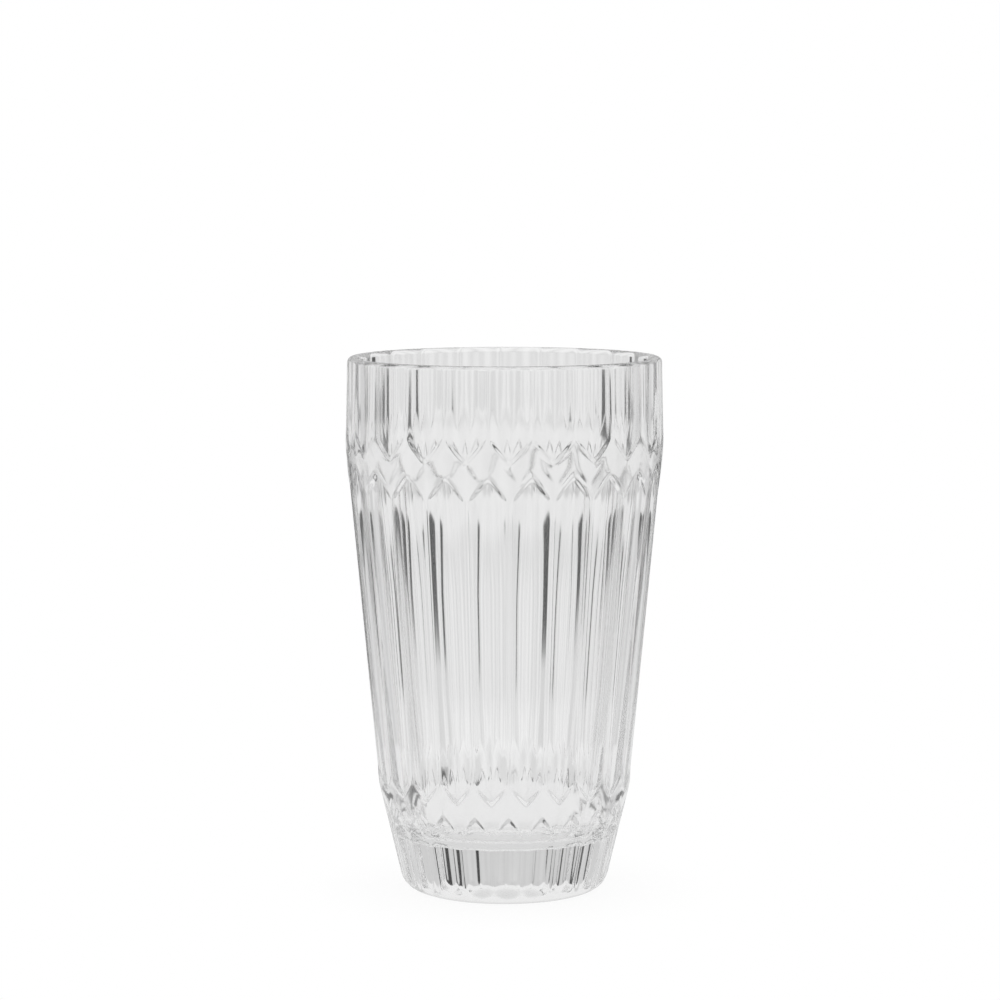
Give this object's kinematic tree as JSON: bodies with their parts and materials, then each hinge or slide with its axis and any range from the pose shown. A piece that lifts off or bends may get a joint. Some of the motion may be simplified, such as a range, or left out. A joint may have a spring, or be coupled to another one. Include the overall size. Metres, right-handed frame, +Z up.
{
  "type": "chai glass",
  "caption": "Tall tapering tumbler of clear pressed glass with three tiers of upright flutes and a heavy base, for chai, latte or cold drinks",
  "frame": {"origin": "middle of the base, on the table", "axes": "+Z runs up the glass along its axis of symmetry, -Y is the side that faces the picture's camera"},
  "size_m": [0.0841, 0.084, 0.142],
  "materials": {
    "clear_glass": "polished"
  },
  "bodies": {
    "root": {"tumbler": "clear_glass"}
  },
  "joints": []
}
